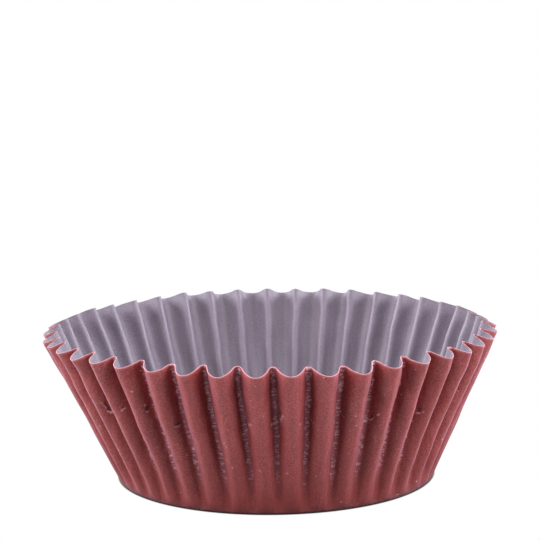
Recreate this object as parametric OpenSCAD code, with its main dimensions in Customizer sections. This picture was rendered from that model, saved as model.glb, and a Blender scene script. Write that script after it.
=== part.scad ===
// Paper baking cup: one flat disc of paper pressed into a cup with a fluted wall.
// It stands on its base, with the base's centre on the ground at the origin and +Z up.
// One crest of the flutes faces -Y. All lengths are in millimetres.

/* [Base] */
// Diameter of the base, where the slope of the wall meets the ground
base_d = 50; // [40:0.5:60]
// Outer radius of the rounded bend between the base and the wall
bend_r = 0.6; // [0.5:0.1:3]

/* [Wall] */
// Diameter of the rim, half way between crests and grooves
rim_d = 70; // [60:0.5:85]
// Length of the wall along its slope, from the base to the cut edge
wall_l = 25.5; // [22:0.5:40]

/* [Flutes] */
// Number of flutes around the wall
flute_count = 42; // [24:2:60]
// Depth of the flutes at the rim, from crest to groove
flute_depth = 2.4; // [1:0.1:3.5]
// Width of a crest at the rim, as a share of one flute
crest_share = 0.65; // [0.5:0.01:0.75]
// Width of a crest at the base, as a share of one flute
foot_share = 0.58; // [0.5:0.01:0.8]
// How far the grooves are squared, from 0 for a V to more of a U
groove_square = 0.2; // [0:0.05:0.4]
// How soon the flutes deepen up the wall: 1 is evenly, less is sooner
flute_rise = 0.5; // [0.5:0.05:1]

/* [Paper] */
// Thickness of the paper
paper_t = 0.1; // [0.06:0.01:0.2]

/* [Hidden] */

// Points across one flute, steps round the bend and steps up the wall
flute_steps = 8;
bend_steps = 2;
wall_steps = 5;
// Rings lie closer together low on the wall, where the flutes deepen fastest
ring_gather = 2;
// Share of the wall over which the flutes ease in, so that they don't start on a ledge
flute_ease = 0.008;
// Step that the surface's direction is measured over
probe = 0.01;

base_r = base_d / 2;
rim_r = rim_d / 2;
crest_out = (rim_r + flute_depth / 2 - base_r) / wall_l;
wall_angle = acos(crest_out);
bend_l = bend_r * tan(wall_angle / 2);
columns = flute_count * flute_steps;
rings = bend_steps + wall_steps + 1;

// Share of the wall that lies below the slope length s
function climb(s) = (s - bend_l) / (wall_l - bend_l);

// Half the depth of the flutes at the slope length s
function risen(share) = pow(share + flute_ease, flute_rise) - pow(flute_ease, flute_rise);
function half_depth(s) = flute_depth / 2 * risen(max(climb(s), 0)) / risen(1);

// Width of a crest at the slope length s, as a share of one flute
function share(s) = foot_share + (crest_share - foot_share) * climb(s);

// Swings that reshape the wave across one flute, in the wave's own degrees: the first
// makes crests wide and grooves narrow, the second steepens a groove's flanks to a flat foot
function widen(t, s) = (180 * share(s) - 90) * sin(t);
function square_off(t) = groove_square * (180 / PI) * sin(2 * t) * (1 - cos(t)) / 2;

// Direction of a point across the flutes, where a whole turn of t is one flute
function bearing(t, s) = (t + widen(t, s) + square_off(t)) / flute_count;

// A point r from the axis and z above the ground, in the direction a from -Y
function around(r, a, z) = [r * sin(a), -r * cos(a), z];

// Outer face of the fluted wall: crests run straight from the base to the rim, and grooves
// are pushed in from them. Each fold line keeps its length s from the base, as in a pressed
// disc, so crests lean out and end lower than grooves do.
function wall_point(t, s) =
    let (out = s * crest_out - half_depth(s) * (1 - cos(t)))
    around(base_r + out, bearing(t, s), sqrt(s * s - out * out));

// Outer face of the bend, where b is the angle turned from flat
function bend_point(t, b) =
    around(base_r - bend_l + bend_r * sin(b), bearing(t, bend_l), bend_r * (1 - cos(b)));

function unit(v) = v / norm(v);

// Outward direction of the wall, from two short steps along its face
function wall_out(t, s) =
    let (along = wall_point(t + probe * flute_count, s) - wall_point(t - probe * flute_count, s))
    let (up = wall_point(t, s + probe) - wall_point(t, s))
    unit(cross(along, up));

// Outward direction of the bend
function bend_out(t, b) = around(sin(b), bearing(t, bend_l), -cos(b));

// Slope length of a wall ring, from 1 above the bend to wall_steps at the cut edge
function ring_s(k) = bend_l + (wall_l - bend_l) * pow(k / wall_steps, ring_gather);

// A ring of points on the sheet, sunk by depth from its outer face
function bend_ring(k, depth) =
    let (b = wall_angle * k / bend_steps)
    [for (j = [0 : columns - 1])
        let (t = 360 * j / flute_steps)
        bend_point(t, b) - depth * bend_out(t, b)];

function wall_ring(k, depth) =
    [for (j = [0 : columns - 1])
        let (t = 360 * j / flute_steps)
        wall_point(t, ring_s(k)) - depth * wall_out(t, ring_s(k))];

function sheet_face(depth) = concat(
    [for (k = [0 : bend_steps]) each bend_ring(k, depth)],
    [for (k = [1 : wall_steps]) each wall_ring(k, depth)]);

// Index of a point on one face of the sheet: side 0 is outer and side 1 is inner
function at(side, ring, j) = (side * rings + ring) * columns + j % columns;

// The two triangles of a panel with the corners a, b, c and d in order
function panel(a, b, c, d) = [[a, b, c], [a, c, d]];

// The paper, as a closed skin: outer face, inner face, cut edge and the base's two discs
module liner() {
    top = rings - 1;
    outer_wall = [for (i = [0 : top - 1], j = [0 : columns - 1])
        each panel(at(0, i, j), at(0, i + 1, j), at(0, i + 1, j + 1), at(0, i, j + 1))];
    inner_wall = [for (i = [0 : top - 1], j = [0 : columns - 1])
        each panel(at(1, i, j + 1), at(1, i + 1, j + 1), at(1, i + 1, j), at(1, i, j))];
    cut_edge = [for (j = [0 : columns - 1])
        each panel(at(0, top, j), at(1, top, j), at(1, top, j + 1), at(0, top, j + 1))];
    underside = [for (j = [0 : columns - 1]) at(0, 0, j)];
    floor_top = [for (j = [0 : columns - 1]) at(1, 0, columns - 1 - j)];
    color("indianred")
        polyhedron(
            points = concat(sheet_face(0), sheet_face(paper_t)),
            faces = concat(outer_wall, inner_wall, cut_edge, [underside, floor_top]),
            convexity = 10);
}

liner();
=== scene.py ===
# %% [markdown]
# A paper cupcake liner, dressed for its portrait.
#
# The real thing is one flat disc of greaseproof paper. A heated die presses it into a cup:
# the middle stays flat and becomes the base, and the ring around it has too much paper for
# a plain cone, so the spare length is gathered into flutes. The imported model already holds
# that shape. This lesson makes a finer sheet in its place, lets it spring back and gives it
# thickness, then finishes its dyed outside, its paler inside and its bare cut edge.
#
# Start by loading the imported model. It says how large the liner is.

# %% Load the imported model
import math

import bmesh
import bpy
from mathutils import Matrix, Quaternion, Vector


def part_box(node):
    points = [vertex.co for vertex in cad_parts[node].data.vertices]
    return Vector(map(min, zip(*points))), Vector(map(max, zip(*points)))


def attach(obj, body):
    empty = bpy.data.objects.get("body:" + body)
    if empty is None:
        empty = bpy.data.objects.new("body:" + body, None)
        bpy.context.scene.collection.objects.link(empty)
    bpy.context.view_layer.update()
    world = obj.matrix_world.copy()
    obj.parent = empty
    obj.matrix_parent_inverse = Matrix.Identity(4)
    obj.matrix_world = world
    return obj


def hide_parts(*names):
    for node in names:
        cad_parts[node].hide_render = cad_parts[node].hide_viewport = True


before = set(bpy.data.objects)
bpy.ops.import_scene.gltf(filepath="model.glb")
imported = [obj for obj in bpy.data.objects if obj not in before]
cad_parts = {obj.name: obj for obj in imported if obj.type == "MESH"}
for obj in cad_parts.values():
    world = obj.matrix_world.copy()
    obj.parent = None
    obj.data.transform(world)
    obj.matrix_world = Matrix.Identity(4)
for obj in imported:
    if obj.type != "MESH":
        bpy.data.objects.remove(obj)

for leftover in ("Cube", "Light", "Camera"):
    if leftover in bpy.data.objects:
        bpy.data.objects.remove(bpy.data.objects[leftover])
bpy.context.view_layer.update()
liner_low, liner_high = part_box("liner")
print("liner box, mm:", [round(1000 * side, 2) for side in liner_high - liner_low])

# %% [markdown]
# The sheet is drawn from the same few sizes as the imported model, written here in metres. Its
# points could be copied from that model, but it is coarser, and sizes can be changed. Crests
# run straight from the base to the rim, so the rim, the base and the slope length fix how far
# they lean out. Grooves are pushed in from them.

# %% Sizes of the pressed cup
MM = 0.001
BASE_RADIUS = 25 * MM
RIM_RADIUS = 35 * MM
SLOPE_LENGTH = 25.5 * MM
BEND_RADIUS = 0.6 * MM
PAPER = 0.1 * MM
FLUTES = 42
FLUTE_DEPTH = 2.4 * MM
crest_out = (RIM_RADIUS + FLUTE_DEPTH / 2 - BASE_RADIUS) / SLOPE_LENGTH
wall_angle = math.acos(crest_out)
bend_length = BEND_RADIUS * math.tan(wall_angle / 2)
print("crests stand at", round(math.degrees(wall_angle), 1), "degrees to the ground")

# %% [markdown]
# Seen from above, one flute is a wave: a wide rounded crest between two narrow grooves. A
# plain sine wave would have both alike. So the wave is swung to and fro as it goes round.
# The first swing widens the crest, and more so at the rim. The second squares the groove.

# %% Where the paper lies round the cup
CREST_SHARE = 0.65
FOOT_SHARE = 0.58
GROOVE_SQUARE = 0.2
flute_turn = 2 * math.pi / FLUTES


def climb(slope):
    """Share of the wall below a slope length, from 0 above the bend to 1 at the cut edge."""
    return max(0.0, (slope - bend_length) / (SLOPE_LENGTH - bend_length))


def bearing(turn, slope):
    """Direction of a point from -Y, where one flute is a whole turn and 0 is its crest."""
    share = FOOT_SHARE + (CREST_SHARE - FOOT_SHARE) * climb(slope)
    widen = math.pi * (share - 0.5) * math.sin(turn)
    square_off = GROOVE_SQUARE * math.sin(2 * turn) * (1 - math.cos(turn)) / 2
    return (turn + widen + square_off) / FLUTES


def around(radius, angle, height):
    return Vector((radius * math.sin(angle), -radius * math.cos(angle), height))


print("each flute takes", round(math.degrees(flute_turn), 2), "degrees of the cup")

# %% [markdown]
# Seen from the side, paper folds but doesn't stretch. Every fold line keeps its length from
# the base to the cut edge, so a crest, which leans out, ends lower than a groove. That gives
# the rim its waves without drawing them. The grooves deepen fast above the bend and then more
# and more slowly, which a power below 1 gives. On its own it would start them with a ledge,
# so it is eased in over the first hundredth or so of the wall.

# %% Where the paper lies up the wall
FLUTE_RISE = 0.5
FLUTE_EASE = 0.008


def risen(share):
    return (share + FLUTE_EASE) ** FLUTE_RISE - FLUTE_EASE ** FLUTE_RISE


def fold_point(turn, slope):
    """Where the outer face of the paper lies, for a slope length above the bend."""
    sunk = FLUTE_DEPTH / 2 * risen(climb(slope)) / risen(1) * (1 - math.cos(turn))
    out = slope * crest_out - sunk
    return around(BASE_RADIUS + out, bearing(turn, slope), math.sqrt(slope**2 - out**2))


def bend_point(turn, rise):
    """Where it lies on the bend, rise being 0 at the flat base and 1 at the wall."""
    angle = wall_angle * rise
    radius = BASE_RADIUS - bend_length + BEND_RADIUS * math.sin(angle)
    return around(radius, bearing(turn, bend_length), BEND_RADIUS * (1 - math.cos(angle)))


for name, turn in (("crest", 0), ("groove", math.pi)):
    print("a", name, "ends", round(fold_point(turn, SLOPE_LENGTH).z / MM, 2), "mm up")

# %% [markdown]
# One flute is drawn first, as a strip from groove to groove. It could be cut from a cone and
# pushed into shape, but then its folds would not keep their length. A flat grid is better,
# because each of its points can be moved to its place on the folded sheet. The grid's UV map
# stays with the paper. Across runs from groove to groove, and up runs from the base to the
# cut edge, so the finishes can find the folds by it later.

# %% Lay down a flat strip
ACROSS = 20
BEND_ROWS = 4
WALL_ROWS = 44
STRIP_SIZE = 4 * MM


def put_all_down():
    """Leaves object mode with nothing selected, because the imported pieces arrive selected."""
    if bpy.context.object and bpy.context.object.mode != "OBJECT":
        bpy.ops.object.mode_set(mode="OBJECT")
    bpy.ops.object.select_all(action="DESELECT")


put_all_down()
bpy.ops.mesh.primitive_grid_add(
    x_subdivisions=ACROSS,
    y_subdivisions=BEND_ROWS + WALL_ROWS,
    size=STRIP_SIZE,
    location=(0, -BASE_RADIUS, 0),
)
paper = bpy.context.object
paper.name = "liner_paper"
bpy.ops.object.transform_apply(location=True, rotation=True, scale=True)
print("the strip has", len(paper.data.vertices), "points")

# %% [markdown]
# Now the strip is folded, one point at a time and row by row. The lowest rows go round the
# bend. Those of the wall lie closer together at its foot, where the grooves deepen fastest,
# so that the folds start softly.

# %% Fold the strip into a flute
ROW_GATHER = 1.4


def row_point(row, turn):
    if row <= BEND_ROWS:
        return bend_point(turn, row / BEND_ROWS)
    share = ((row - BEND_ROWS) / WALL_ROWS) ** ROW_GATHER
    return fold_point(turn, bend_length + (SLOPE_LENGTH - bend_length) * share)


bpy.ops.object.mode_set(mode="EDIT")
sheet = bmesh.from_edit_mesh(paper.data)
bpy.ops.mesh.select_all(action="DESELECT")
for row in range(BEND_ROWS + WALL_ROWS + 1):
    for column in range(ACROSS + 1):
        turn = 2 * math.pi * column / ACROSS - math.pi
        sheet.verts.ensure_lookup_table()
        point = sheet.verts[row * (ACROSS + 1) + column]
        point.select_set(True)
        bpy.ops.transform.translate(value=row_point(row, turn) - point.co)
        point.select_set(False)
tallest = max(point.co.z for point in sheet.verts)
print("the folded strip is", round(tallest / MM, 2), "mm tall")

# %% [markdown]
# The die makes every flute alike, so the other flutes are copies of the first. An array
# modifier could place them, but spin does it in one step about the cup's axis. Neighbours
# share a groove line. Merging those lines turns the strips into one unbroken sheet, as the
# paper is.

# %% Spin the wall
MERGE_WITHIN = 0.001 * MM

bpy.ops.mesh.select_all(action="SELECT")
bpy.ops.mesh.spin(
    steps=FLUTES - 1,
    dupli=True,
    angle=flute_turn * (FLUTES - 1),
    center=(0, 0, 0),
    axis=(0, 0, 1),
)
bpy.ops.mesh.select_all(action="SELECT")
bpy.ops.mesh.remove_doubles(threshold=MERGE_WITHIN)
print("the wall has", len(bmesh.from_edit_mesh(paper.data).faces), "faces")

# %% [markdown]
# The base is the part of the disc that the die leaves flat. Its edge is the lowest ring of
# the wall. Filled at once, it would be shaded as if the bend ran on into the base. So the ring
# is first extruded and drawn inwards a few times. The first new ring lies close to the bend
# and keeps the bend's smooth shading to itself.

# %% Draw in the base
FLAT_RINGS = (0.985, 0.93, 0.8)


def pick_points(piece, wanted):
    """Selects the points of a piece in edit mode that the rule wants, and counts them."""
    points = bmesh.from_edit_mesh(piece.data)
    points.verts.ensure_lookup_table()
    for point in points.verts:
        point.select_set(bool(wanted(point)))
    points.select_flush_mode()
    bmesh.update_edit_mesh(piece.data)
    return sum(point.select for point in points.verts)


bpy.ops.mesh.select_mode(type="VERT")
lowest = pick_points(paper, lambda point: point.co.z < MERGE_WITHIN and point.is_boundary)
for ring in FLAT_RINGS:
    bpy.ops.mesh.extrude_edges_move()
    bpy.ops.transform.resize(value=(ring, ring, 1), center_override=(0, 0, 0))
bpy.ops.mesh.edge_face_add()
bpy.ops.mesh.select_all(action="SELECT")
bpy.ops.mesh.normals_make_consistent(inside=False)
bpy.ops.object.mode_set(mode="OBJECT")
print("the base has", lowest, "points round it, and the sheet", len(paper.data.polygons), "faces")

# %% [markdown]
# A real liner springs back a little when it leaves the die, and is then handled and nested.
# The base and the bend hold the foot of the wall still, and most of the change is at the rim.
# A vertex group can say so: a point's weight is how freely it moves.

# %% Let go of the wall towards the rim
GRIP = "wall_grip"
GRIP_RISE = 0.8

grip = paper.vertex_groups.new(name=GRIP)
for point in paper.data.vertices:
    share = max(0.0, point.co.z / liner_high.z)
    grip.add([point.index], min(1.0, share**GRIP_RISE), "REPLACE")
held = sum(point.groups[0].weight == 0 for point in paper.data.vertices)
print("points:", len(paper.data.vertices), "of which held still:", held)

# %% [markdown]
# Two clouds of displacement then push the wall about. The broad one, wider than a flute, is
# the springback. The finer and weaker one is the handling. A cloth simulation could do this
# too, but pressed paper is stiff and doesn't drape, and clouds are the same each time. Where
# a cloud is middling it moves nothing, and elsewhere it pushes one way or the other.

# %% Let the wall spring back unevenly
SPRINGBACK_WIDTH = 14 * MM
SPRINGBACK_REACH = 1.0 * MM
SPRINGBACK_PLACE = (0.05, 0.02, 0.01)
HANDLING_WIDTH = 4 * MM
HANDLING_REACH = 0.35 * MM
HANDLING_PLACE = (0.01, 0.07, 0.03)
CLOUD_DEPTH = 1
MIDDLING = 0.5


def push_about(piece, name, width, reach, place):
    """Displaces the wall by a cloud with lumps of a width, read from a place of its own."""
    cloud = bpy.data.textures.new(name, "CLOUDS")
    cloud.cloud_type = "COLOR"
    cloud.noise_scale = width
    cloud.noise_depth = CLOUD_DEPTH
    anchor = bpy.data.objects.new(name + "_place", None)
    bpy.context.collection.objects.link(anchor)
    anchor.location = place
    put_all_down()
    bpy.context.view_layer.objects.active = piece
    piece.select_set(True)
    push = piece.modifiers.new(name, "DISPLACE")
    push.texture = cloud
    push.texture_coords = "OBJECT"
    push.texture_coords_object = anchor
    push.direction = "RGB_TO_XYZ"
    push.mid_level = MIDDLING
    push.strength = reach
    push.vertex_group = GRIP
    bpy.ops.object.modifier_apply(modifier=name)
    bpy.data.objects.remove(anchor)
    bpy.data.textures.remove(cloud)


pressed = [point.co.copy() for point in paper.data.vertices]
push_about(paper, "springback", SPRINGBACK_WIDTH, SPRINGBACK_REACH, SPRINGBACK_PLACE)
push_about(paper, "handling", HANDLING_WIDTH, HANDLING_REACH, HANDLING_PLACE)
moves = [(point.co - was).length for point, was in zip(paper.data.vertices, pressed)]
print("the wall has moved by up to", round(max(moves) / MM, 2), "mm")

# %% [markdown]
# The rim of the liner in the photo is also a touch narrow and leans to the left. That is one
# soft change of the whole form, so it is made with a lattice: a cage of eight corners, whose
# four upper ones are drawn in and moved over. The paper inside follows them.

# %% Squeeze the rim a little out of round
LEAN = 0.75 * MM
SQUEEZE = 0.98
CAGE_WIDTH = 2.2 * RIM_RADIUS

put_all_down()
bpy.ops.object.add(type="LATTICE", location=(0, 0, liner_high.z / 2))
cage = bpy.context.object
cage.scale = (CAGE_WIDTH, CAGE_WIDTH, liner_high.z)
cage.data.interpolation_type_w = "KEY_LINEAR"
for corner in cage.data.points:
    if corner.co.z > 0:
        corner.co_deform.x = corner.co.x * SQUEEZE - LEAN / cage.scale.x
put_all_down()
bpy.context.view_layer.objects.active = paper
paper.select_set(True)
squeeze = paper.modifiers.new("squeeze", "LATTICE")
squeeze.object = cage
bpy.ops.object.modifier_apply(modifier="squeeze")
bpy.data.objects.remove(cage)
sideways = [point.co.x for point in paper.data.vertices]
print("the rim reaches from", round(min(sideways) / MM, 1), "to", round(max(sideways) / MM, 1), "mm")

# %% [markdown]
# So far the sheet is only its own outer face. An inner one could be drawn by the same rule,
# but Solidify adds it just as evenly, with the cut edge, and sends each to a material slot of
# its own. The sheet stays on the outer side, because the sizes are those of the outside.
# Edges sharper than 50 degrees stay crisp. Only those of the cut edge are that sharp.

# %% Give the paper its thickness
CRISP_FROM = math.radians(50)
INWARDS = -1


def new_material(name):
    material = bpy.data.materials.new(name)
    material.use_nodes = True
    material.node_tree.nodes.clear()
    return material


outside = new_material("dyed_outside")
inside = new_material("pale_inside")
edge = new_material("bare_cut_edge")
for look in (outside, inside, edge):
    paper.data.materials.append(look)
put_all_down()
bpy.context.view_layer.objects.active = paper
paper.select_set(True)
thicken = paper.modifiers.new("thickness", "SOLIDIFY")
thicken.thickness = PAPER
thicken.offset = INWARDS
thicken.material_offset = 1
thicken.material_offset_rim = 2
bpy.ops.object.modifier_apply(modifier="thickness")
bpy.ops.object.shade_smooth_by_angle(angle=CRISP_FROM)
print("the paper has", len(paper.data.polygons), "faces")


# %% [markdown]
# Now the finishes. Each material is a net of nodes, and wiring them one by one makes long
# code. One helper makes a node and joins each of its inputs, picked by name or by number, to
# a value or to another node.

# %% A helper that makes nodes
def add_node(material, kind, settings=None, **inputs):
    """Makes a node, sets its properties, and sets or joins its inputs. n0 is the first input."""
    tree = material.node_tree
    node = tree.nodes.new(kind)
    for key, value in (settings or {}).items():
        setattr(node, key, value)
    for key, value in inputs.items():
        by_number = key[0] == "n" and key[1:].isdigit()
        socket = node.inputs[int(key[1:]) if by_number else key]
        if hasattr(value, "is_output"):
            tree.links.new(value, socket)
        else:
            socket.default_value = value
    return node


print("to be finished:", [look.name for look in paper.data.materials])

# %% [markdown]
# The outside comes first. Close to, the paper has a fine grain of more and less dye. A picture
# wrapped round the cup could show that, but a noise has no seam. It is read at the object's
# own place, so it stays where it is when the cup moves. Its lumps are given as a number per
# metre each way, and more of them in height than round the cup makes them lie flat. A noise
# keeps near its middle, so only a stretch of it is used, spread over 0 to 1.

# %% Spread the grain
GRAIN = {"lumps": (3800, 3800, 6200), "detail": 2, "used": (0.36, 0.68)}


def own_place(material):
    return add_node(material, "ShaderNodeTexCoord").outputs["Object"]


def ramp_up(material, value, stretch):
    """0 below the stretch, 1 above it, and a soft rise between."""
    low, high = stretch
    spread = add_node(
        material, "ShaderNodeMapRange", {"interpolation_type": "SMOOTHSTEP"},
        Value=value, **{"From Min": low, "From Max": high},
    )
    return spread.outputs["Result"]


def cloudy(material, lumps, detail, used):
    """A noise from 0 to 1, with a number of lumps per metre each way."""
    place = add_node(
        material, "ShaderNodeVectorMath", {"operation": "MULTIPLY"}, n0=own_place(material), n1=lumps
    )
    noise = add_node(material, "ShaderNodeTexNoise", Vector=place.outputs[0], Scale=1.0, Detail=detail)
    return ramp_up(material, noise.outputs["Fac"], used)


grain = cloudy(outside, **GRAIN)
print("a lump of the grain is about", round(1 / GRAIN["lumps"][0] / MM, 2), "mm wide")

# %% [markdown]
# A deep and a thin dye are mixed by the grain. Over them lie broad faint clouds of a third,
# which evens them out in places. From here on a finish is made as a dyer would, in layers:
# each has a colour, a share from 0 to 1 that says where it lies, and a strength.

# %% Dye the fibres
DEEP_DYE = (0.19, 0.026, 0.025, 1)
THIN_DYE = (0.335, 0.072, 0.073, 1)
EVEN_DYE = (0.255, 0.040, 0.039, 1)
CLOUDS = {"lumps": (150, 150, 150), "detail": 2, "used": (0.3, 0.7)}
CLOUD_STRENGTH = 0.4


def combine(material, action, first, second):
    return add_node(material, "ShaderNodeMath", {"operation": action}, n0=first, n1=second).outputs[0]


def product(material, *shares):
    total = shares[0]
    for share in shares[1:]:
        total = combine(material, "MULTIPLY", total, share)
    return total


def blend_colours(material, share, first, second):
    mix = add_node(material, "ShaderNodeMix", {"data_type": "RGBA"}, n0=share, n6=first, n7=second)
    return mix.outputs[2]


def lay_over(material, colour, layer, share, strength):
    """Lays a layer of another colour over a colour."""
    return blend_colours(material, product(material, share, strength), colour, layer)


colour = blend_colours(outside, grain, DEEP_DYE, THIN_DYE)
colour = lay_over(outside, colour, EVEN_DYE, cloudy(outside, **CLOUDS), CLOUD_STRENGTH)
print("nodes of the outside so far:", len(outside.node_tree.nodes))


# %% [markdown]
# What comes next depends on the folds. They could be worked out from the bearing round the
# cup, but the wall has been pushed about since it was drawn, and only the UV map moved with
# it. From it come two measures: how far a point is from its groove, as a share of a flute,
# and how far it is up the wall.

# %% Find the folds
def less(material, share):
    return combine(material, "SUBTRACT", 1.0, share)


def fold_place(material):
    """Distance from the groove, 0 to 0.5 of a flute, and height up the wall, 0 to 1."""
    chart = add_node(material, "ShaderNodeTexCoord").outputs["UV"]
    split = add_node(material, "ShaderNodeSeparateXYZ", Vector=chart)
    across, up = split.outputs["X"], split.outputs["Y"]
    return combine(material, "MINIMUM", across, less(material, across)), up


from_groove, up = fold_place(outside)
print("nodes of the outside so far:", len(outside.node_tree.nodes))

# %% [markdown]
# Beside each groove the flanks are painted darker and redder, most of all high on the wall.
# That is painted shade, the deep shade of the grooves spread onto their sides. Long soft
# wrinkles run up the folds and make the painted shade wander. The foot of the wall is painted
# darker too, as painted shade that deepens towards the table.

# %% Paint shade on the flanks and the foot
FLANK_SHADE = (0.12, 0.010, 0.008, 1)
FLANK_SHADE_STRENGTH = 0.4
FLANK_STARTS = (0.0, 0.08)
FLANK_ENDS = (0.22, 0.5)
HIGH_UP = (0.35, 0.8)
WRINKLES = {"lumps": (420, 420, 110), "detail": 2, "used": (0.32, 0.68)}
WRINKLE_SWAY = 0.14
FOOT_SHADE = (0.122, 0.0255, 0.0235, 1)
FOOT_SHADE_STRENGTH = 0.65
FOOT_ENDS = (0.0, 0.8)

wrinkles = cloudy(outside, **WRINKLES)
swayed = combine(outside, "ADD", from_groove, product(outside, wrinkles, WRINKLE_SWAY))
flank = product(
    outside,
    ramp_up(outside, from_groove, FLANK_STARTS),
    less(outside, ramp_up(outside, swayed, FLANK_ENDS)),
    ramp_up(outside, up, HIGH_UP),
)
# Painted shade: the flanks beside the grooves are darkened as if in the grooves' shade.
colour = lay_over(outside, colour, FLANK_SHADE, flank, FLANK_SHADE_STRENGTH)
foot = less(outside, ramp_up(outside, up, FOOT_ENDS))
# Painted shade: the wall is darkened more and more towards its foot.
colour = lay_over(outside, colour, FOOT_SHADE, foot, FOOT_SHADE_STRENGTH)
print("nodes of the outside so far:", len(outside.node_tree.nodes))

# %% [markdown]
# Over the bend and the first millimetre of the wall the paper looks darker and duller. It is
# rubbed where it stands, and the table shades it. The table that comes later gives no shade,
# so the band is painted darker: partly wear, and partly painted shade from the table. The flat
# base is left out of it, and is found by the map too: all of the base is at 0 there.

# %% Paint wear and shade over the bend
BEND_WEAR_AND_SHADE = (0.088, 0.026, 0.027, 1)
BEND_WEAR_AND_SHADE_STRENGTH = 0.65
BAND_STARTS = (0.0, 0.02)
BAND_ENDS = (0.085, 0.21)

above_base = ramp_up(outside, up, BAND_STARTS)
band = product(outside, above_base, less(outside, ramp_up(outside, up, BAND_ENDS)))
# Painted shade, with some wear: the band over the bend is darkened as if the table shaded it.
colour = lay_over(outside, colour, BEND_WEAR_AND_SHADE, band, BEND_WEAR_AND_SHADE_STRENGTH)
print("nodes of the outside so far:", len(outside.node_tree.nodes))


# %% [markdown]
# At the bottom of the grooves the die has crushed the sheet. It left a dull violet strip with
# frayed sides, and the broken fibres in it show as pale crinkles. They are hardly larger than
# the sheet's faces, so two noises draw them. The strip fades out towards the base, where the
# grooves are shallow.

# %% Crush the grooves
def linear(red, green, blue):
    """A colour as read from a screen, from 0 to 255, made linear."""
    def one(level):
        level /= 255
        return level / 12.92 if level <= 0.04045 else ((level + 0.055) / 1.055) ** 2.4
    return (one(red), one(green), one(blue), 1.0)


CRUSHED = (0.23, 0.052, 0.072, 1)
CRUSHED_STRENGTH = 0.8
CRUSHED_FROM = (0.32, 0.5)
STRIP_SIDE = (0.085, 0.13)
FRAY = {"lumps": (500, 500, 900), "detail": 2, "used": (0.3, 0.7)}
FRAY_REACH = 0.05
BARE_FIBRE = linear(208, 160, 172)
CRINKLES = {"lumps": (1300, 1300, 3600), "detail": 1, "used": (0.48, 0.64)}
CRINKLE_STRENGTH = 0.5

crinkle = cloudy(outside, **CRINKLES)
frayed = combine(outside, "ADD", from_groove, product(outside, cloudy(outside, **FRAY), FRAY_REACH))
in_groove = less(outside, ramp_up(outside, frayed, STRIP_SIDE))
crushed = product(outside, in_groove, ramp_up(outside, up, CRUSHED_FROM))
colour = lay_over(outside, colour, CRUSHED, crushed, CRUSHED_STRENGTH)
pale = product(outside, crushed, crinkle)
colour = lay_over(outside, colour, BARE_FIBRE, pale, CRINKLE_STRENGTH)
print("bare fibre is", [round(part, 2) for part in BARE_FIBRE[:3]], "in linear light")

# %% [markdown]
# A few specks of lint cling to the greasy surface. They could be tiny pieces, but they have
# hardly any thickness. The very tops of a noise are as small, and lie as far apart.

# %% Scatter lint
LINT = linear(225, 175, 178)
LINT_STRENGTH = 0.4
SPECKS = {"lumps": (1700, 1700, 2200), "detail": 0, "used": (0.81, 0.88)}

colour = lay_over(outside, colour, LINT, cloudy(outside, **SPECKS), LINT_STRENGTH)
print("nodes of the outside so far:", len(outside.node_tree.nodes))

# %% [markdown]
# Rather more than half way up, the die has nipped many of the flanks. Each nip is a small
# hollow, with a torn pale lip curling round below it. The hollow is painted dark, as painted
# shade in the dent. Modelling them would take many tiny faces for marks of a millimetre or
# two, so they are worked out from the distance to a point on either side of each groove. A
# noise moves that point up or down, and another bends what is drawn round it.

# %% Place the nips
NIP_HEIGHT = 17.1 * MM
NIP_FROM_GROOVE = 0.22
FLUTE_PAPER = 6.5 * MM
STRAY = {"lumps": (260, 260, 40), "detail": 0, "used": (0.2, 0.8)}
STRAY_REACH = 3.2 * MM
WOBBLE = {"lumps": (1600, 1600, 1600), "detail": 1, "used": (0.3, 0.7)}
WOBBLE_REACH = 0.5 * MM

height = add_node(outside, "ShaderNodeSeparateXYZ", Vector=own_place(outside)).outputs["Z"]
stray = product(outside, cloudy(outside, **STRAY), STRAY_REACH)
over = combine(outside, "SUBTRACT", combine(outside, "ADD", height, stray), NIP_HEIGHT)
beside = combine(outside, "SUBTRACT", from_groove, NIP_FROM_GROOVE)
beside = product(outside, beside, FLUTE_PAPER)
wobble = combine(outside, "SUBTRACT", cloudy(outside, **WOBBLE), MIDDLING)
beside = combine(outside, "ADD", beside, product(outside, wobble, WOBBLE_REACH))
squares = combine(outside, "ADD", product(outside, over, over), product(outside, beside, beside))
away = combine(outside, "SQRT", squares, 0.0)
print("nips lie", round((NIP_HEIGHT - STRAY_REACH) / MM, 1), "to", round(NIP_HEIGHT / MM, 1), "mm up")

# %% [markdown]
# Round each such point, the hollow is a disc and the lip is the lower half of a ring just
# outside it. One more noise gives each nip its force and leaves many out. The last one tears
# the lip into shreds.

# %% Sink the hollows and curl the lips
NIP_RADIUS = 0.5 * MM
HOLLOW_SIDE = (0.4 * NIP_RADIUS, NIP_RADIUS)
LIP_STARTS = (0.75 * NIP_RADIUS, NIP_RADIUS)
LIP_ENDS = (1.2 * NIP_RADIUS, 1.8 * NIP_RADIUS)
LIP_TOP = (-NIP_RADIUS, 0.2 * NIP_RADIUS)
FORCE = {"lumps": (900, 900, 60), "detail": 0, "used": (0.46, 0.60)}
SHREDS = {"lumps": (1300, 1300, 3600), "detail": 1, "used": (0.35, 0.6)}
HOLLOW_SHADE = (0.05, 0.004, 0.004, 1)
HOLLOW_SHADE_STRENGTH = 0.55
LIP_STRENGTH = 0.6

force = cloudy(outside, **FORCE)
hollow = product(outside, less(outside, ramp_up(outside, away, HOLLOW_SIDE)), force)
lip = product(
    outside,
    ramp_up(outside, away, LIP_STARTS),
    less(outside, ramp_up(outside, away, LIP_ENDS)),
    less(outside, ramp_up(outside, over, LIP_TOP)),
    force,
    cloudy(outside, **SHREDS),
)
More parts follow.
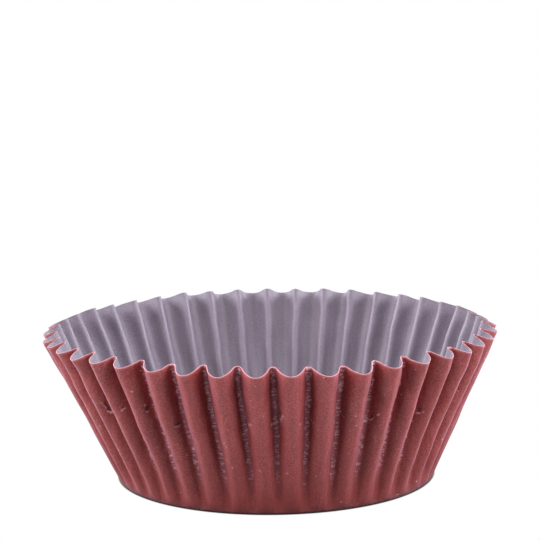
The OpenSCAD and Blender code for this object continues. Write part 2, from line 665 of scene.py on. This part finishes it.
# Painted shade: each hollow is darkened as if in shadow.
colour = lay_over(outside, colour, HOLLOW_SHADE, hollow, HOLLOW_SHADE_STRENGTH)
colour = lay_over(outside, colour, BARE_FIBRE, lip, LIP_STRENGTH)
print("a nip is up to", round(2 * LIP_ENDS[1] / MM, 1), "mm across, with its lip")

# %% [markdown]
# The last of the colour is wear at the cut edge. The dye is rubbed thin along it, and the tips
# of the grooves, which stand highest, are nicked down to bare fibre.

# %% Wear the cut edge
WORN_FROM = (0.99, 0.998)
WORN_STRENGTH = 0.2
TIPS_FROM = (0.95, 0.985)

worn = ramp_up(outside, up, WORN_FROM)
colour = lay_over(outside, colour, BARE_FIBRE, worn, WORN_STRENGTH)
nicked = product(outside, ramp_up(outside, up, TIPS_FROM), in_groove, crinkle)
colour = blend_colours(outside, nicked, colour, BARE_FIBRE)
print("nodes of the outside so far:", len(outside.node_tree.nodes))

# %% [markdown]
# The marks also catch the light. Crinkles and wrinkles stand up a little, the grain hardly
# does, and the hollows are sunk. All of it is less than a fifth of a millimetre, so a bump
# shows it as well as moved points would, and needs no finer sheet. Then the outside can have
# its shader.

# %% Raise the relief
RELIEF = 0.08 * MM
GRAIN_RAISED = 0.1
CRINKLES_RAISED = 0.8
HOLLOWS_SUNK = 2.0
WRINKLES_RAISED = 1.2
ROUGHNESS = 0.45


def bumped(material, height, reach):
    bump = add_node(material, "ShaderNodeBump", Height=height, Distance=reach)
    return bump.outputs["Normal"]


def end_in(material, shader):
    out = add_node(material, "ShaderNodeOutputMaterial")
    material.node_tree.links.new(shader.outputs[0], out.inputs[0])


def finish_paper(material, colour, roughness):
    settings = {"Base Color": colour, "Roughness": roughness}
    shader = add_node(material, "ShaderNodeBsdfPrincipled", **settings)
    end_in(material, shader)
    return shader


fine = product(outside, grain, GRAIN_RAISED)
relief = combine(outside, "ADD", fine, product(outside, pale, CRINKLES_RAISED))
relief = combine(outside, "SUBTRACT", relief, product(outside, hollow, HOLLOWS_SUNK))
relief = combine(outside, "ADD", relief, product(outside, wrinkles, WRINKLES_RAISED))
shader = finish_paper(outside, colour, ROUGHNESS)
outside.node_tree.links.new(bumped(outside, relief, RELIEF), shader.inputs["Normal"])
print("wrinkles stand up by", round(WRINKLES_RAISED * RELIEF / MM, 2), "mm")

# %% [markdown]
# Greaseproof paper is pressed hard, and its crests have a soft gloss. The flanks beside the
# grooves and the foot are dull. Where the paper is seen at a slant, a lilac bloom lies on it. A
# clear coat would look wet, so a little tinted sheen gives that, held back where the paper is dull.

# %% Give it gloss and bloom
FULL_GLOSS = 0.6
FULL_BLOOM = 0.7
BLOOM_STRENGTH = 0.3
FLANK_DULLS = 0.4
FOOT_DULLS = 0.5
BLOOM_ROUGHNESS = 0.45
BLOOM_TINT = (0.8, 0.72, 1.0, 1)

dull_flank = product(outside, flank, FLANK_DULLS)
dulled = combine(outside, "ADD", dull_flank, product(outside, foot, FOOT_DULLS))
gloss = combine(outside, "SUBTRACT", FULL_GLOSS, dulled)
bloom = product(outside, combine(outside, "SUBTRACT", FULL_BLOOM, dulled), BLOOM_STRENGTH)
outside.node_tree.links.new(gloss, shader.inputs["Specular IOR Level"])
outside.node_tree.links.new(bloom, shader.inputs["Sheen Weight"])
shader.inputs["Sheen Roughness"].default_value = BLOOM_ROUGHNESS
shader.inputs["Sheen Tint"].default_value = BLOOM_TINT
print("nodes of the outside in all:", len(outside.node_tree.nodes))

# %% [markdown]
# The inside is the other face of the same sheet. The dye hardly comes through, so it is a pale
# lilac grey with the same fine grain, less glossy and almost smooth. Its two colours are set
# darker than that pale grey, so that the shade inside the cup is partly painted into them. The
# cut edge is too thin to show more than one colour, and takes one between the two faces.

# %% Finish the inside and the cut edge
INSIDE_GRAIN = {"lumps": (3800, 3800, 6200), "detail": 3, "used": (0.3, 0.7)}
INSIDE_DEEP_SHADED = linear(87, 78, 90)
INSIDE_THIN_SHADED = linear(102, 92, 105)
INSIDE_ROUGHNESS = 0.55
INSIDE_GLOSS = 0.3
INSIDE_RELIEF = 0.01 * MM
EDGE_FIBRE = linear(150, 100, 106)
EDGE_ROUGHNESS = 0.7

grain = cloudy(inside, **INSIDE_GRAIN)
# Painted shade: both inside colours are set darker than the pale paper, for shade inside the cup.
colour = blend_colours(inside, grain, INSIDE_DEEP_SHADED, INSIDE_THIN_SHADED)
shader = finish_paper(inside, colour, INSIDE_ROUGHNESS)
shader.inputs["Specular IOR Level"].default_value = INSIDE_GLOSS
inside.node_tree.links.new(bumped(inside, grain, INSIDE_RELIEF), shader.inputs["Normal"])
finish_paper(edge, EDGE_FIBRE, EDGE_ROUGHNESS)
print("nodes of the inside:", len(inside.node_tree.nodes))

# %% [markdown]
# The liner stands on a plain white table, with only a thin dark line where it touches. A table
# lit by lamps would fall off to grey far away and throw much light back up. So the table that
# the camera sees glows evenly instead, and lights nothing. Its glow is dimmed where it is shut
# in under the foot, and that dimming is a painted contact shadow.

# %% Lay the table that is seen
TABLE_SIZE = 12
TABLE_GAP = 0.02 * MM
SHUT_IN_WITHIN = 0.3 * MM
SHUT_IN_POWER = 2.0
SHUT_IN_RAYS = 16


def lay_floor(name, drop, look):
    bpy.ops.mesh.primitive_plane_add(size=TABLE_SIZE, location=(0, 0, -drop))
    floor = bpy.context.object
    floor.name = name
    floor.data.materials.append(look)
    return floor


put_all_down()
glowing = new_material("lit_table")
painted_contact_shadow = add_node(
    glowing, "ShaderNodeAmbientOcclusion", {"samples": SHUT_IN_RAYS}, Distance=SHUT_IN_WITHIN
)
# Painted shadow: the glow is dimmed by occlusion, so a contact shadow is painted under the foot.
strength = combine(glowing, "POWER", painted_contact_shadow.outputs["AO"], SHUT_IN_POWER)
end_in(glowing, add_node(glowing, "ShaderNodeEmission", Strength=strength))
seen_floor = lay_floor("floor", TABLE_GAP, glowing)
seen_floor.visible_diffuse = False
seen_floor.visible_glossy = False
seen_floor.visible_shadow = False
print("the table is", round(seen_floor.dimensions.x), "m wide")

# %% [markdown]
# A real table does send a little light up into the liner. A second, dim grey one just below
# the first gives it. The camera doesn't see that one. Neither table is part of the liner.

# %% Lay the table that bounces light
DIM_GREY = (0.1, 0.1, 0.1, 1)
DIM_ROUGHNESS = 0.9
DIM_GAP = 0.1 * MM

dim = new_material("dim_table")
finish_paper(dim, DIM_GREY, DIM_ROUGHNESS)
bounce = lay_floor("bounce", DIM_GAP, dim)
bounce.visible_camera = False
bounce.visible_shadow = False
print("it lies", round((DIM_GAP - TABLE_GAP) / MM, 2), "mm below the other")

# %% [markdown]
# Behind the table the picture is white too. But the room is nearly dark, because light from
# all around would fill the grooves, which are deep in shade in the photo. So the sky is white
# only where the camera looks straight at it. Colours are shown as they are, with no film curve.

# %% Darken the room
WHITE = (1, 1, 1, 1)
ROOM_LIGHT = 0.02

world = bpy.data.worlds.new("dim_room")
world.use_nodes = True
sky = world.node_tree.nodes["Background"]
sky.inputs["Color"].default_value = WHITE
seen_directly = add_node(world, "ShaderNodeLightPath").outputs["Is Camera Ray"]
sky_light = combine(world, "MAXIMUM", seen_directly, ROOM_LIGHT)
world.node_tree.links.new(sky_light, sky.inputs["Strength"])
bpy.context.scene.world = world
bpy.context.scene.view_settings.view_transform = "Standard"
print("the room gives", ROOM_LIGHT, "of a white sky's light")

# %% [markdown]
# The photo is lit by soft boxes. Each crest is bright on the side that faces out, left flutes
# on their left and right ones on their right, so there is a large box at either side and none
# in front. Two cooler ones from behind catch the outermost flutes, and one overhead lights the
# inside and the rim. Each box is placed by its bearing from the front, its rise and its
# distance, and faces the liner.

# %% Set up the soft boxes
NEUTRAL = (1, 1, 1)
COOL = (0.88, 0.95, 1.0)


def soft_box(name, round_by, rise, away, size, power, tint):
    data = bpy.data.lights.new(name, "AREA")
    data.shape = "RECTANGLE"
    data.size, data.size_y = size
    data.energy = power
    data.color = tint
    lamp = bpy.data.objects.new(name, data)
    bpy.context.collection.objects.link(lamp)
    turn, lift = math.radians(round_by), math.radians(rise)
    out = Vector((math.sin(turn) * math.cos(lift), -math.cos(turn) * math.cos(lift), math.sin(lift)))
    lamp.location = out * away
    lamp.rotation_euler = (-out).to_track_quat("-Z", "Y").to_euler()
    print(name, "gives", power, "W from", away, "m away")


soft_box("left_box", round_by=-66, rise=26, away=0.9, size=(1.0, 0.45), power=18.0, tint=NEUTRAL)
soft_box("right_box", round_by=62, rise=25, away=0.9, size=(0.65, 0.45), power=12.0, tint=NEUTRAL)
soft_box("right_back_box", round_by=112, rise=22, away=0.9, size=(0.5, 0.45), power=13.5, tint=COOL)
soft_box("left_back_box", round_by=-118, rise=22, away=0.9, size=(0.45, 0.45), power=12.5, tint=COOL)
soft_box("top_box", round_by=0, rise=89, away=1.0, size=(1.2, 1.2), power=27.0, tint=NEUTRAL)

# %% [markdown]
# The camera stands where the photo's did. Its distance, rise, turn, roll and lens come from
# fitting the liner's outline, crests and grooves to the picture, with the base taken as 50 mm.
# The liner isn't in the middle of the picture, so the camera is first pointed at the base, and
# then tilted until the base is seen at its place. The picture is 540 pixels wide and high.

# %% Place the camera
CAMERA_AWAY = 307 * MM
CAMERA_RISE = math.radians(14.95)
CAMERA_ROUND = math.radians(3.32)
CAMERA_ROLL = math.radians(-0.89)
PIXELS = 540
BASE_CENTRE_SEEN = (276.3, 470.5)
FOCAL_PIXELS = 1912
SENSOR = 36
NEAREST_SEEN = 10 * MM

back = Vector((
    math.cos(CAMERA_RISE) * math.sin(CAMERA_ROUND),
    -math.cos(CAMERA_RISE) * math.cos(CAMERA_ROUND),
    math.sin(CAMERA_RISE),
))
camera = bpy.data.objects.new("camera", bpy.data.cameras.new("camera"))
bpy.context.collection.objects.link(camera)
camera.data.sensor_width = SENSOR
camera.data.lens = FOCAL_PIXELS / PIXELS * SENSOR
camera.data.clip_start = NEAREST_SEEN
camera.location = back * CAMERA_AWAY
seen = Vector((BASE_CENTRE_SEEN[0] - PIXELS / 2, PIXELS / 2 - BASE_CENTRE_SEEN[1], -FOCAL_PIXELS))
tilt = seen.normalized().rotation_difference(Vector((0, 0, -1)))
roll = Quaternion((0, 0, 1), CAMERA_ROLL)
camera.rotation_mode = "QUATERNION"
camera.rotation_quaternion = (-back).to_track_quat("-Z", "Y") @ roll @ tilt
bpy.context.scene.camera = camera
print("the lens is", round(camera.data.lens, 1), "mm, for a sensor of", SENSOR, "mm")

# %% [markdown]
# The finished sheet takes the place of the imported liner. It rides on the root body, because a
# liner has no moving piece.

# %% Hand the piece over
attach(paper, "root")
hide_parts("liner")
print("handed over:", paper.name)
